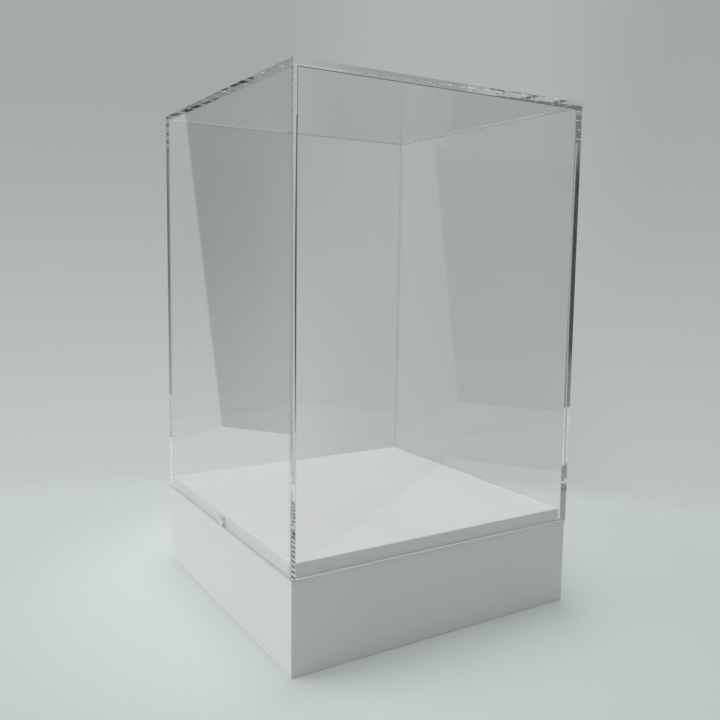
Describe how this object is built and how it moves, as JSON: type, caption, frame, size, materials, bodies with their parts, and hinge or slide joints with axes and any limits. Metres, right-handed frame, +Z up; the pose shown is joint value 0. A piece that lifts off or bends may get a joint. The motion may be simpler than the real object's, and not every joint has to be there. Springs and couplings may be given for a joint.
{
  "type": "display case",
  "caption": "Table-top display case: a low mitred white plinth, a thin raised deck, and a clear lift-off cover that stands on the ledge round it.",
  "frame": {"origin": "middle of the footprint, on the table", "axes": "+Z up, -Y towards the front, +X to the right"},
  "size_m": [0.221, 0.221, 0.355],
  "materials": {
    "plinth_white": "matt white facing on fibreboard",
    "deck_white": "matt white paint on fibreboard",
    "clear_acrylic": "clear cast acrylic, polished edges, solvent-cemented joints",
    "glue_block": "bare softwood",
    "tongue_ply": "bare birch plywood",
    "zinc_screw": "bright zinc plate",
    "grey_felt": "pressed grey felt"
  },
  "bodies": {
    "plinth": {"plinth_front_board": "plinth_white", "plinth_right_board": "plinth_white", "plinth_back_board": "plinth_white", "plinth_left_board": "plinth_white", "plinth_top_board": "plinth_white", "raised_deck": "deck_white", "deck_screws": "zinc_screw", "corner_block_front_left": "glue_block", "corner_block_front_right": "glue_block", "corner_block_back_left": "glue_block", "corner_block_back_right": "glue_block", "mitre_tongue_front_left": "tongue_ply", "mitre_tongue_front_right": "tongue_ply", "mitre_tongue_back_left": "tongue_ply", "mitre_tongue_back_right": "tongue_ply", "rim_tongue_front": "tongue_ply", "rim_tongue_right": "tongue_ply", "rim_tongue_back": "tongue_ply", "rim_tongue_left": "tongue_ply", "felt_pad_front_left": "grey_felt", "felt_pad_front_right": "grey_felt", "felt_pad_back_left": "grey_felt", "felt_pad_back_right": "grey_felt"},
    "cover": {"cover_top_sheet": "clear_acrylic", "cover_front_sheet": "clear_acrylic", "cover_back_sheet": "clear_acrylic", "cover_left_sheet": "clear_acrylic", "cover_right_sheet": "clear_acrylic"}
  },
  "joints": [
    {"name": "cover_lift", "type": "slide", "parent": "plinth", "child": "cover", "axis": [0, 0, 1], "range_m": [0, 0.3]}
  ]
}
